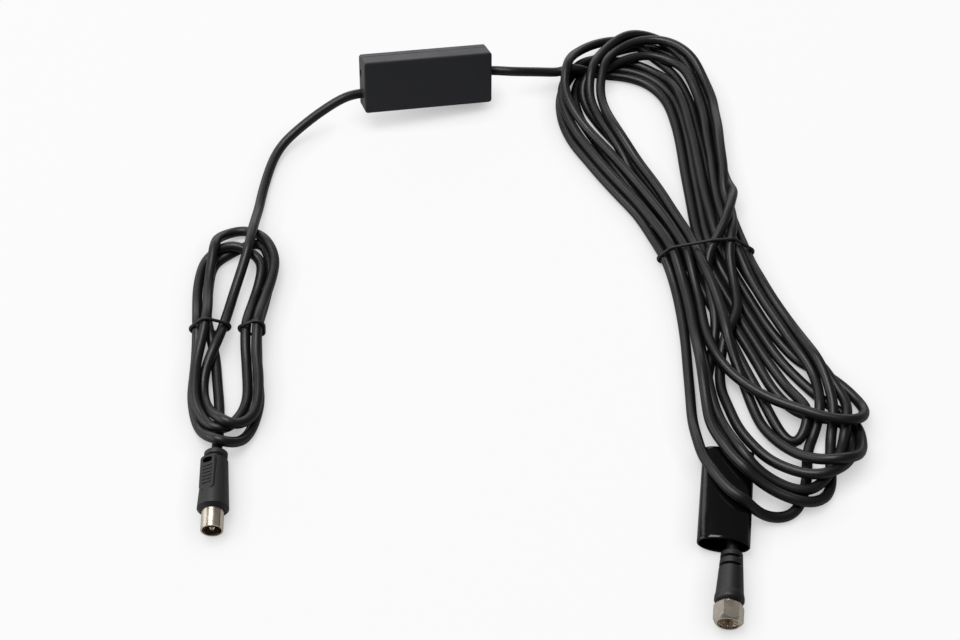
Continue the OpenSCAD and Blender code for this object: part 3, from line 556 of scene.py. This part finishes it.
# One list a turn, from the waist round the far end and the near end; the first starts at the box
right_turns = [
    [
        (0.0435, -0.0020, 0.0150), (0.0635, -0.0025, 0.0105), (0.0785, -0.0030, 0.0065),
        (0.0935, -0.0035, 0.0030), (0.1120, -0.0120, 0.0025), (0.1195, -0.0255, 0.0025),
        (0.1200, -0.0455, 0.0025), (0.1185, -0.0570, 0.0025), (0.1160, -0.0705, 0.0025),
        (0.1130, -0.0870, 0.0025), (0.1100, -0.1030, 0.0025), (0.1075, -0.1170, 0.0025),
        (0.1055, -0.1295, 0.0025), (0.1070, -0.1475, 0.0025), (0.1095, -0.1670, 0.0025),
        (0.1110, -0.1780, 0.0025), (0.1130, -0.1895, 0.0025), (0.1175, -0.2095, 0.0030),
        (0.1210, -0.2255, 0.0060), (0.1210, -0.2325, 0.0070), (0.1150, -0.2415, 0.0030),
        (0.1105, -0.2425, 0.0025), (0.1080, -0.2380, 0.0025), (0.1065, -0.2285, 0.0025),
        (0.1055, -0.2160, 0.0025), (0.1040, -0.2030, 0.0025), (0.1030, -0.1905, 0.0025),
        (0.1020, -0.1780, 0.0025), (0.1010, -0.1655, 0.0025), (0.1000, -0.1540, 0.0025),
        (0.0975, -0.1335, 0.0025)],
    [
        (0.0975, -0.1225, 0.0025), (0.0950, -0.1145, 0.0025), (0.0945, -0.1045, 0.0025),
        (0.0910, -0.0925, 0.0025), (0.0885, -0.0820, 0.0025), (0.0865, -0.0640, 0.0030),
        (0.0835, -0.0470, 0.0035), (0.0815, -0.0390, 0.0045), (0.0805, -0.0220, 0.0070),
        (0.0855, -0.0070, 0.0100), (0.0955, 0.0050, 0.0105), (0.1095, 0.0135, 0.0085),
        (0.1250, 0.0130, 0.0050), (0.1345, -0.0020, 0.0030), (0.1365, -0.0135, 0.0025),
        (0.1365, -0.0260, 0.0025), (0.1355, -0.0370, 0.0025), (0.1325, -0.0590, 0.0025),
        (0.1305, -0.0710, 0.0025), (0.1285, -0.0835, 0.0025), (0.1275, -0.0970, 0.0025),
        (0.1270, -0.1095, 0.0025), (0.1265, -0.1220, 0.0025), (0.1260, -0.1350, 0.0035),
        (0.1260, -0.1495, 0.0050), (0.1275, -0.1660, 0.0060), (0.1300, -0.1795, 0.0065),
        (0.1320, -0.1935, 0.0065), (0.1345, -0.2145, 0.0070), (0.1325, -0.2320, 0.0070),
        (0.1275, -0.2440, 0.0025), (0.1250, -0.2510, 0.0025), (0.1170, -0.2700, 0.0025),
        (0.1065, -0.2740, 0.0040), (0.0995, -0.2715, 0.0055), (0.0870, -0.2595, 0.0100),
        (0.0815, -0.2505, 0.0125), (0.0770, -0.2295, 0.0120), (0.0790, -0.2160, 0.0095),
        (0.0815, -0.2030, 0.0080), (0.0840, -0.1905, 0.0075), (0.0865, -0.1760, 0.0070),
        (0.0890, -0.1610, 0.0070), (0.0905, -0.1450, 0.0070), (0.0910, -0.1315, 0.0070)],
    [
        (0.0905, -0.1225, 0.0070), (0.0880, -0.1095, 0.0070), (0.0845, -0.0955, 0.0070),
        (0.0790, -0.0800, 0.0070), (0.0735, -0.0645, 0.0070), (0.0710, -0.0555, 0.0070),
        (0.0670, -0.0390, 0.0070), (0.0660, -0.0225, 0.0065), (0.0705, -0.0080, 0.0050),
        (0.0810, 0.0025, 0.0030), (0.0940, 0.0060, 0.0025), (0.1070, 0.0030, 0.0025),
        (0.1170, -0.0045, 0.0025), (0.1245, -0.0180, 0.0030), (0.1255, -0.0380, 0.0050),
        (0.1240, -0.0510, 0.0060), (0.1225, -0.0640, 0.0065), (0.1200, -0.0795, 0.0065),
        (0.1175, -0.0945, 0.0060), (0.1160, -0.1090, 0.0050), (0.1145, -0.1220, 0.0035),
        (0.1155, -0.1435, 0.0025), (0.1175, -0.1560, 0.0025), (0.1195, -0.1685, 0.0025),
        (0.1215, -0.1800, 0.0025), (0.1280, -0.1995, 0.0025), (0.1375, -0.2100, 0.0025),
        (0.1450, -0.2230, 0.0040), (0.1470, -0.2350, 0.0060), (0.1375, -0.2415, 0.0100),
        (0.1250, -0.2370, 0.0110), (0.1190, -0.2320, 0.0105), (0.1050, -0.2185, 0.0115),
        (0.0985, -0.2095, 0.0115), (0.0935, -0.1990, 0.0105), (0.0915, -0.1880, 0.0090),
        (0.0920, -0.1735, 0.0075), (0.0945, -0.1590, 0.0070), (0.0960, -0.1440, 0.0070),
        (0.0970, -0.1310, 0.0070)],
    [
        (0.0960, -0.1220, 0.0070), (0.0945, -0.1105, 0.0070), (0.0915, -0.0985, 0.0070),
        (0.0880, -0.0855, 0.0075), (0.0830, -0.0695, 0.0080), (0.0760, -0.0505, 0.0100),
        (0.0690, -0.0300, 0.0115), (0.0685, -0.0170, 0.0120), (0.0725, -0.0050, 0.0120),
        (0.0805, 0.0065, 0.0110), (0.0920, 0.0140, 0.0095), (0.1045, 0.0160, 0.0065),
        (0.1150, 0.0105, 0.0040), (0.1235, 0.0005, 0.0025), (0.1295, -0.0135, 0.0025),
        (0.1310, -0.0310, 0.0025), (0.1305, -0.0410, 0.0025), (0.1290, -0.0535, 0.0025),
        (0.1275, -0.0660, 0.0025), (0.1250, -0.0815, 0.0025), (0.1225, -0.0980, 0.0025),
        (0.1200, -0.1140, 0.0025), (0.1190, -0.1290, 0.0025), (0.1210, -0.1415, 0.0025),
        (0.1235, -0.1545, 0.0025), (0.1255, -0.1675, 0.0025), (0.1275, -0.1800, 0.0025),
        (0.1295, -0.1915, 0.0025), (0.1355, -0.2080, 0.0035), (0.1375, -0.2160, 0.0060),
        (0.1395, -0.2305, 0.0070), (0.1370, -0.2370, 0.0070), (0.1315, -0.2480, 0.0025),
        (0.1225, -0.2605, 0.0030), (0.1095, -0.2685, 0.0055), (0.1025, -0.2675, 0.0070),
        (0.0910, -0.2575, 0.0105), (0.0860, -0.2485, 0.0120), (0.0825, -0.2280, 0.0110),
        (0.0825, -0.2160, 0.0095), (0.0840, -0.2035, 0.0080), (0.0865, -0.1900, 0.0065),
        (0.0890, -0.1750, 0.0050), (0.0910, -0.1595, 0.0035), (0.0925, -0.1455, 0.0025),
        (0.0920, -0.1335, 0.0025)],
    [
        (0.0910, -0.1225, 0.0025), (0.0900, -0.1105, 0.0025), (0.0880, -0.0970, 0.0025),
        (0.0855, -0.0850, 0.0025), (0.0825, -0.0740, 0.0025), (0.0775, -0.0535, 0.0025),
        (0.0740, -0.0365, 0.0025), (0.0730, -0.0290, 0.0025), (0.0755, -0.0125, 0.0030),
        (0.0835, -0.0010, 0.0035), (0.0945, 0.0005, 0.0030), (0.1065, -0.0040, 0.0030),
        (0.1165, -0.0135, 0.0025), (0.1230, -0.0285, 0.0025), (0.1220, -0.0490, 0.0025),
        (0.1200, -0.0635, 0.0025), (0.1170, -0.0790, 0.0025), (0.1145, -0.0960, 0.0025),
        (0.1120, -0.1110, 0.0025), (0.1105, -0.1250, 0.0025), (0.1100, -0.1345, 0.0025),
        (0.1130, -0.1550, 0.0025), (0.1145, -0.1665, 0.0025), (0.1165, -0.1785, 0.0025),
        (0.1185, -0.1900, 0.0025), (0.1215, -0.2015, 0.0025), (0.1300, -0.2210, 0.0025),
        (0.1395, -0.2360, 0.0025), (0.1410, -0.2435, 0.0025), (0.1355, -0.2570, 0.0030),
        (0.1230, -0.2610, 0.0050), (0.1095, -0.2510, 0.0070), (0.1010, -0.2330, 0.0070),
        (0.1000, -0.2205, 0.0065), (0.1000, -0.2070, 0.0065), (0.0995, -0.1950, 0.0065),
        (0.0995, -0.1840, 0.0070), (0.1010, -0.1715, 0.0070), (0.1015, -0.1590, 0.0070),
        (0.1015, -0.1465, 0.0070), (0.1015, -0.1340, 0.0070)],
    [
        (0.1015, -0.1230, 0.0070), (0.0985, -0.1035, 0.0070), (0.0960, -0.0885, 0.0070),
        (0.0915, -0.0695, 0.0075), (0.0865, -0.0500, 0.0085), (0.0850, -0.0345, 0.0095),
        (0.0870, -0.0180, 0.0105), (0.0955, -0.0010, 0.0110), (0.1105, 0.0085, 0.0115),
        (0.1260, 0.0070, 0.0110), (0.1375, -0.0060, 0.0095), (0.1405, -0.0160, 0.0090),
        (0.1410, -0.0370, 0.0080), (0.1390, -0.0465, 0.0075), (0.1365, -0.0585, 0.0070),
        (0.1330, -0.0720, 0.0070), (0.1295, -0.0885, 0.0070), (0.1265, -0.1030, 0.0070),
        (0.1225, -0.1225, 0.0080), (0.1160, -0.1375, 0.0090), (0.1145, -0.1445, 0.0090),
        (0.1110, -0.1640, 0.0080), (0.1085, -0.1710, 0.0065), (0.1000, -0.1815, 0.0045),
        (0.0955, -0.1885, 0.0045), (0.0895, -0.2065, 0.0070), (0.0890, -0.2185, 0.0090),
        (0.0895, -0.2305, 0.0095), (0.0930, -0.2420, 0.0095), (0.0975, -0.2510, 0.0090),
        (0.1110, -0.2635, 0.0070), (0.1195, -0.2640, 0.0050), (0.1335, -0.2535, 0.0025),
        (0.1370, -0.2390, 0.0025), (0.1340, -0.2345, 0.0025), (0.1270, -0.2325, 0.0025),
        (0.1200, -0.2285, 0.0025), (0.1150, -0.2220, 0.0025), (0.1115, -0.2110, 0.0025),
        (0.1100, -0.1985, 0.0025), (0.1085, -0.1850, 0.0025), (0.1065, -0.1725, 0.0025),
        (0.1050, -0.1600, 0.0025), (0.1030, -0.1470, 0.0025), (0.1015, -0.1355, 0.0025)],
    [
        (0.1010, -0.1220, 0.0025), (0.0995, -0.1110, 0.0025), (0.0975, -0.0980, 0.0025),
        (0.0945, -0.0845, 0.0025), (0.0910, -0.0715, 0.0025), (0.0880, -0.0595, 0.0025),
        (0.0850, -0.0490, 0.0025), (0.0815, -0.0385, 0.0025), (0.0780, -0.0190, 0.0040),
        (0.0825, -0.0070, 0.0060), (0.0935, -0.0035, 0.0065), (0.1060, 0.0005, 0.0070),
        (0.1195, 0.0010, 0.0070), (0.1305, -0.0085, 0.0070), (0.1335, -0.0170, 0.0070),
        (0.1340, -0.0370, 0.0070), (0.1325, -0.0500, 0.0070), (0.1300, -0.0620, 0.0070),
        (0.1280, -0.0740, 0.0070), (0.1245, -0.0890, 0.0070), (0.1225, -0.1035, 0.0070),
        (0.1210, -0.1155, 0.0070), (0.1205, -0.1265, 0.0065), (0.1210, -0.1480, 0.0070),
        (0.1225, -0.1620, 0.0070), (0.1250, -0.1770, 0.0070), (0.1275, -0.1905, 0.0070),
        (0.1310, -0.2110, 0.0070), (0.1270, -0.2300, 0.0070), (0.1195, -0.2415, 0.0030),
        (0.1155, -0.2475, 0.0025), (0.1100, -0.2615, 0.0025), (0.1025, -0.2730, 0.0025),
        (0.0970, -0.2765, 0.0025), (0.0855, -0.2745, 0.0035), (0.0740, -0.2660, 0.0120),
        (0.0685, -0.2455, 0.0135), (0.0690, -0.2355, 0.0130), (0.0710, -0.2225, 0.0100),
        (0.0750, -0.2075, 0.0070), (0.0785, -0.1930, 0.0050), (0.0820, -0.1785, 0.0040),
        (0.0850, -0.1625, 0.0040), (0.0870, -0.1475, 0.0035), (0.0875, -0.1340, 0.0030)],
    [
        (0.0865, -0.1220, 0.0025), (0.0830, -0.1010, 0.0025), (0.0775, -0.0855, 0.0025),
        (0.0720, -0.0695, 0.0025), (0.0695, -0.0610, 0.0025), (0.0650, -0.0460, 0.0025),
        (0.0640, -0.0300, 0.0025), (0.0675, -0.0135, 0.0025), (0.0770, 0.0000, 0.0025),
        (0.0880, 0.0075, 0.0025), (0.1080, 0.0125, 0.0025), (0.1220, 0.0115, 0.0025),
        (0.1335, 0.0005, 0.0025), (0.1375, -0.0090, 0.0025), (0.1395, -0.0210, 0.0025),
        (0.1390, -0.0350, 0.0025), (0.1365, -0.0495, 0.0025), (0.1340, -0.0655, 0.0025),
        (0.1315, -0.0795, 0.0025), (0.1295, -0.0920, 0.0025), (0.1280, -0.1030, 0.0045),
        (0.1200, -0.1205, 0.0125), (0.1070, -0.1355, 0.0120), (0.1035, -0.1425, 0.0055),
        (0.1000, -0.1605, 0.0025), (0.0985, -0.1715, 0.0025), (0.0945, -0.1820, 0.0025),
        (0.0895, -0.1920, 0.0025), (0.0840, -0.2030, 0.0025), (0.0810, -0.2140, 0.0025),
        (0.0805, -0.2245, 0.0025)],
]
STRAIGHT_BEHIND = 0.004
LEAD_IN_GRIP = 0.0119
right_end = [
    (0.0878, -0.2410, 0.0035), (0.0855, -0.2470, 0.0035), (0.0825, -0.2550, 0.0035),
    (0.0785, -0.2640, 0.0039), (0.0740, -0.2730, 0.0048), (0.0700, -0.2810, 0.0059),
    along(CONN_AT, CONN_TURN, -STRAIGHT_BEHIND), CONN_AT, along(CONN_AT, CONN_TURN, LEAD_IN_GRIP)]
RIGHT_TIE = (0.1048, -0.1323, 8.3, 0.06)


def over_sleeve(line, floor):
    """Raises the strands that cross the sleeve onto its rounded top"""
    turn = math.radians(CONN_TURN)
    x, y = line[:, 0] - SLEEVE_AT[0], line[:, 1] - SLEEVE_AT[1]
    across = x * math.cos(turn) - y * math.sin(turn)
    back = x * math.sin(turn) + y * math.cos(turn)
    tall = MOUTH_H + (REAR_H - MOUTH_H) * np.clip(back / SLEEVE_L, 0, 1)
    shoulder = np.clip(np.abs(across) - (SLEEVE_W - tall) / 2, 0, None) / (tall / 2)
    top = tall * np.sqrt(np.clip(1 - shoulder ** 2, 0, 1))
    on_it = (back > -BEFORE_MOUTH) & (back < SLEEVE_L + BEHIND_REAR)
    return np.where(on_it, np.maximum(floor, top + LEAD_D / 2), floor)


TAIL_POINTS = 61
right_line = soften(smooth_line(right_start + sum(right_turns, []) + right_end), ROUTE_PASSES)
free = free_share(len(right_line), fixed=(14, 42), fade=(12, 10))
floor = over_sleeve(right_line, lie_on(right_line, [RIGHT_TIE]))
floor[-TAIL_POINTS:] = LEAD_D / 2
right_line = settle(right_line, np.where(free > 0, floor, 0), free)
right_lead = tube("right_lead_jacket", right_line, LEAD_D / 2, LEAD_SIDES, jacket)
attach(right_lead, "lead")
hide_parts("right_lead", "right_hank", "right_tail")

# Right tie: one longer plastic-covered wire, of the same kind as the left ones. It goes round the waist
# of the right hank and holds all its strands.
right_tie = tie_round("right_tie_wire", right_line, RIGHT_TIE, covered_wire)
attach(right_tie, "lead")
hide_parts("right_tie")

# Weather sleeve: a loose tube of glossy soft PVC that is slid over the outdoor joint. It lies flattened
# by the turns on its rear half.


def soft_gloss():
    """Dipped soft PVC: a wet gloss over faint ripples"""
    material, tree, shader = new_material("soft_pvc_gloss")
    place = add_node(tree, "ShaderNodeTexCoord", {})
    ripple = add_node(tree, "ShaderNodeTexNoise",
                      {"Vector": place.outputs["Object"], "Scale": 1 / 0.006, "Detail": 2.0})
    bump = add_node(tree, "ShaderNodeBump",
                    {"Height": ripple.outputs["Fac"], "Strength": 0.2, "Distance": 0.0004})
    tree.links.new(bump.outputs["Normal"], shader.inputs["Normal"])
    shader.inputs["Base Color"].default_value = linear("#060607")
    shader.inputs["Roughness"].default_value = 0.15
    shader.inputs["Specular IOR Level"].default_value = 0.35
    shader.inputs["IOR"].default_value = 1.52
    return material


SLEEVE_WALL = 0.0009
SLEEVE_SIDES = 72
SLEEVE_LOOPS = 40
MOUTH_SQUARENESS = 2.05
SQUARER_BEHIND = 0.6
SQUARING_SHARE = 0.25
LIP_LENGTH = 0.0003
LIP_BEVEL = 0.00008
LIP_EDGE = 0.00018


def sleeve_loop(back, inset):
    """One loop round the sleeve at a distance from its mouth, inset from its outer skin"""
    share = min(max(back / SLEEVE_L, 0), 1)
    half = (MOUTH_H + (REAR_H - MOUTH_H) * share) / 2
    crown = 2 / (MOUTH_SQUARENESS + SQUARER_BEHIND * min(share / SQUARING_SHARE, 1))
    turn = math.radians(CONN_TURN)
    loop = []
    for a in np.linspace(0, 2 * math.pi, SLEEVE_SIDES, endpoint=False):
        c, s = math.cos(a), math.sin(a)
        across = math.copysign(abs(c) ** crown, c) * (SLEEVE_W / 2 - inset)
        up = half + math.copysign(abs(s) ** crown, s) * (half - inset)
        loop.append((SLEEVE_AT[0] + across * math.cos(turn) + back * math.sin(turn),
                     SLEEVE_AT[1] - across * math.sin(turn) + back * math.cos(turn), up))
    return loop


def ring_faces(loops, sides):
    """Four-sided faces from each loop to the next, and from the last loop back to the first"""
    faces = []
    for i in range(loops):
        following = (i + 1) % loops
        for k in range(sides):
            beside = (k + 1) % sides
            faces.append((i * sides + k, i * sides + beside, following * sides + beside,
                          following * sides + k))
    return faces


def smooth_skin(name, corners, faces, finish):
    """A smooth piece from its corners and faces, with its finish"""
    mesh = bpy.data.meshes.new(name)
    mesh.from_pydata(corners, [], faces)
    mesh.polygons.foreach_set("use_smooth", [True] * len(faces))
    mesh.materials.append(finish)
    mesh.update()
    return add_object(name, mesh)


profile = [(b, 0.0) for b in np.linspace(SLEEVE_L - LIP_LENGTH, LIP_LENGTH, SLEEVE_LOOPS)]
profile += [(LIP_BEVEL, LIP_EDGE), (0.0, SLEEVE_WALL / 2), (LIP_BEVEL, SLEEVE_WALL - LIP_EDGE)]
profile += [(b, SLEEVE_WALL) for b in np.linspace(LIP_LENGTH, SLEEVE_L - LIP_LENGTH, SLEEVE_LOOPS)]
profile += [(SLEEVE_L, SLEEVE_WALL / 2)]
corners = [p for back, inset in profile for p in sleeve_loop(back, inset)]
faces = [face[::-1] for face in ring_faces(len(profile), SLEEVE_SIDES)]
sleeve = smooth_skin("weather_sleeve_skin", corners, faces, soft_gloss())
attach(sleeve, "lead")
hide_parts("weather_sleeve")

# Screw-on connector: a moulded grip over a turned core that carries a hexagon nut, with foam insulator
# and the lead's own copper core in the middle. The nut turns freely on the core.
dress(nickel, "connector_core", "hex_nut")
GRIP_L = 0.0235
GRIP_SIDES = 96
GRIP_BORE = 0.0024
GRIP_FRONT_BORE = 0.0038
GRIP_FRONT_DEPTH = 0.011
GRIP_OUTLINE = ((0.0, 0.0039), (0.0002, 0.0043), (0.0007, 0.0046), (0.0190, 0.00575), (0.0204, 0.0061),
                (0.0212, 0.0062), (0.0225, 0.0062), (0.0231, 0.0058), (GRIP_L, 0.0053))
# Where the grip's loops lie close together, for the grooves, and where they lie further apart
GROOVED_LOOPS = np.linspace(0.0009, 0.0096, 88).tolist()
PLAIN_LOOPS = np.linspace(0.010, 0.022, 13).tolist()
GROOVES = (0.0033, 0.0071)
GROOVE_W = 0.0010
GROOVE_SLOPE = 0.0003
GROOVE_DEPTH = 0.0014
GROOVE_MIDDLE = math.radians(-24)
GROOVE_REACH = math.radians(78)
GROOVE_RUNOUT = 0.12
SHARP_FROM = math.radians(40)
across = Vector((math.cos(math.radians(CONN_TURN)), -math.sin(math.radians(CONN_TURN)), 0.0))
upward = Vector((0.0, 0.0, 1.0))


def groove_depth(reach, a):
    """How deep a strain-relief groove is at a reach along the grip and an angle round it"""
    off = abs((a - GROOVE_MIDDLE + math.pi) % (2 * math.pi) - math.pi)
    side = min(max((GROOVE_REACH - off) / GROOVE_RUNOUT, 0), 1)
    near = min(abs(reach - groove) for groove in GROOVES)
    return min(max((GROOVE_W / 2 + GROOVE_SLOPE / 2 - near) / GROOVE_SLOPE, 0), 1) * side * GROOVE_DEPTH


def grip_loop(reach, radius, grooved):
    """One loop round the grip's axis, sunk where a groove crosses it"""
    loop = []
    for a in np.linspace(0, 2 * math.pi, GRIP_SIDES, endpoint=False):
        deep = groove_depth(reach, a) if grooved else 0
        loop.append(Vector(along(CONN_AT, CONN_TURN, reach))
                    + float(radius - deep) * (math.cos(a) * upward + math.sin(a) * across))
    return loop


reaches = sorted(set([p[0] for p in GRIP_OUTLINE] + GROOVED_LOOPS + PLAIN_LOOPS))
loops = [grip_loop(reach, np.interp(reach, *zip(*GRIP_OUTLINE)), True) for reach in reaches]
loops += [grip_loop(GRIP_L, GRIP_FRONT_BORE, False),
          grip_loop(GRIP_L - GRIP_FRONT_DEPTH, GRIP_FRONT_BORE, False),
          grip_loop(GRIP_L - GRIP_FRONT_DEPTH, GRIP_BORE, False), grip_loop(0.0, GRIP_BORE, False)]
corners = [tuple(p) for loop in loops for p in loop]
grip = smooth_skin("connector_grip", corners, ring_faces(len(loops), GRIP_SIDES), plug_pvc)
grip.data.set_sharp_from_angle(angle=SHARP_FROM)
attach(grip, "lead")
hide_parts("connector_body")
dress(plain_plastic("foam_white", "#d8d4c8", 0.6), "connector_insulator")


def bare_copper():
    """Drawn copper, a little dulled"""
    material, _, shader = new_material("bare_copper")
    shader.inputs["Base Color"].default_value = linear("#c98860")
    shader.inputs["Metallic"].default_value = 1.0
    shader.inputs["Roughness"].default_value = 0.3
    return material


def thread_tree():
    """Geometry Nodes: the ridge of a screw thread, wound as a helix, with its sizes and finish"""
    tree = bpy.data.node_groups.new("screw_thread", "GeometryNodeTree")
    for name, kind in (("Blank", "Geometry"), ("Bore Radius", "Float"), ("Turns", "Float"),
                       ("Length", "Float"), ("Ridge Radius", "Float"), ("Finish", "Material")):
        tree.interface.new_socket(name=name, in_out="INPUT", socket_type="NodeSocket" + kind)
    tree.interface.new_socket(name="Thread", in_out="OUTPUT", socket_type="NodeSocketGeometry")
    given = add_node(tree, "NodeGroupInput", {})
    helix = add_node(tree, "GeometryNodeCurveSpiral",
                     {"Resolution": 48, "Rotations": given.outputs["Turns"],
                      "Height": given.outputs["Length"], "Start Radius": given.outputs["Bore Radius"],
                      "End Radius": given.outputs["Bore Radius"]})
    ridge = add_node(tree, "GeometryNodeCurvePrimitiveCircle",
                     {"Resolution": 8, "Radius": given.outputs["Ridge Radius"]})
    wound = add_node(tree, "GeometryNodeCurveToMesh",
                     {"Curve": helix.outputs["Curve"], "Profile Curve": ridge.outputs["Curve"],
                      "Fill Caps": True})
    real = add_node(tree, "GeometryNodeRealizeInstances", {"Geometry": wound.outputs["Mesh"]})
    finish = add_node(tree, "GeometryNodeSetMaterial",
                      {"Geometry": real.outputs["Geometry"], "Material": given.outputs["Finish"]})
    add_node(tree, "NodeGroupOutput", {"Thread": finish.outputs["Geometry"]})
    return tree


NUT_BORE = 0.0088
THREAD_FROM = 0.028
THREAD_PITCH = 0.00079
THREAD_TURNS = 5.0
THREAD_RIDGE = 0.0003
thread = add_object("nut_thread", bpy.data.meshes.new("nut_thread"))
grow(thread, thread_tree(), **{"Bore Radius": NUT_BORE / 2, "Turns": THREAD_TURNS, "Finish": nickel,
                               "Length": THREAD_TURNS * THREAD_PITCH, "Ridge Radius": THREAD_RIDGE})
stand = Matrix((across, upward, across.cross(upward))).transposed().to_4x4()
stand.translation = along(CONN_AT, CONN_TURN, THREAD_FROM)
thread.data.transform(stand)
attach(thread, "nut")
dress(bare_copper(), "connector_pin", "core_wires")

# Floor: a white sweep that everything lies on. The camera sees it almost pure white, with the soft
# shadow of the object left in it and a painted shade that darkens it where things stand close.


def white_sweep():
    """White card, lifted towards pure white for the camera wherever nothing stands close; near things the
    lift drops, a painted shade
    """
    material, tree, shader = new_material("white_card")
    out = tree.nodes["Material Output"]
    shader.inputs["Base Color"].default_value = linear("#b4b4b4")
    shader.inputs["Roughness"].default_value = 0.9
    shader.inputs["Specular IOR Level"].default_value = 0.0
    light = add_node(tree, "ShaderNodeLightPath", {})
    # Painted shade: ambient occlusion lowers the white glow where things stand close, so the floor darkens
    # round and under them beyond their real shadow
    painted_shade_ao = add_node(tree, "ShaderNodeAmbientOcclusion", {"Distance": 0.012}, samples=8)
    share = add_node(tree, "ShaderNodeMapRange",
                     {"Value": painted_shade_ao.outputs["AO"], "To Min": 0.3, "To Max": 0.93})
    lift = add_node(tree, "ShaderNodeMath",
                    {0: light.outputs["Is Camera Ray"], 1: share.outputs["Result"]}, operation="MULTIPLY")
    glow = add_node(tree, "ShaderNodeEmission", {"Color": linear("#ffffff"), "Strength": 1.0})
    mix = add_node(tree, "ShaderNodeMixShader",
                   {0: lift.outputs[0], 1: shader.outputs[0], 2: glow.outputs[0]})
    tree.links.new(mix.outputs[0], out.inputs["Surface"])
    return material


SWEEP_HALF = 4
mesh = bpy.data.meshes.new("floor")
mesh.from_pydata([(-SWEEP_HALF, -SWEEP_HALF, 0), (SWEEP_HALF, -SWEEP_HALF, 0),
                  (SWEEP_HALF, SWEEP_HALF, 0), (-SWEEP_HALF, SWEEP_HALF, 0)], [], [(0, 1, 2, 3)])
mesh.materials.append(white_sweep())
add_object("floor", mesh)

# Lamps and world: a softbox overhead, and white cards behind and at the left that the top and the left
# end of the box reflect. The front is left dim.


def aim(thing, place, target):
    """Puts a lamp or the camera somewhere, looking at a point"""
    thing.location = place
    thing.rotation_euler = (Vector(target) - Vector(place)).to_track_quat("-Z", "Y").to_euler()


OBJECT_MIDDLE = (0.0, -0.12, 0.0)


def softbox(name, place, size, watts):
    """A rectangular area lamp aimed at the middle of the object"""
    lamp = bpy.data.lights.new(name, "AREA")
    lamp.shape = "RECTANGLE"
    lamp.size, lamp.size_y = size
    lamp.energy = watts
    aim(add_object(name, lamp), place, OBJECT_MIDDLE)


softbox("overhead_softbox", place=(-0.3, 0.1, 1.25), size=(0.8, 0.7), watts=13.0)
softbox("back_card", place=(0.1, 1.5, 0.5), size=(3.0, 1.0), watts=16.0)
softbox("left_card", place=(-1.5, 0.1, 0.5), size=(1.6, 1.0), watts=11.0)
world = bpy.data.worlds.new("studio")
bpy.context.scene.world = world
world.use_nodes = True
backdrop = world.node_tree.nodes["Background"]
light = add_node(world.node_tree, "ShaderNodeLightPath", {})
seen = add_node(world.node_tree, "ShaderNodeMapRange",
                {"Value": light.outputs["Is Camera Ray"], "To Min": 0.13, "To Max": 1.0})
world.node_tree.links.new(seen.outputs["Result"], backdrop.inputs["Strength"])
backdrop.inputs["Color"].default_value = linear("#ffffff")

# Camera: the photograph's own place, above the front left, with a moderate telephoto lens. Both were
# fitted to the table, the corners of the box, the nut and the ferrule.
lens = bpy.data.cameras.new("camera")
lens.lens = 62.6
lens.sensor_width = 36.0
lens.clip_start = 0.01
camera = add_object("camera", lens)
aim(camera, place=(-0.1148, -0.6001, 0.6130), target=(-0.0058, -0.1426, 0.0))
bpy.context.scene.camera = camera
bpy.context.scene.view_settings.view_transform = "Standard"
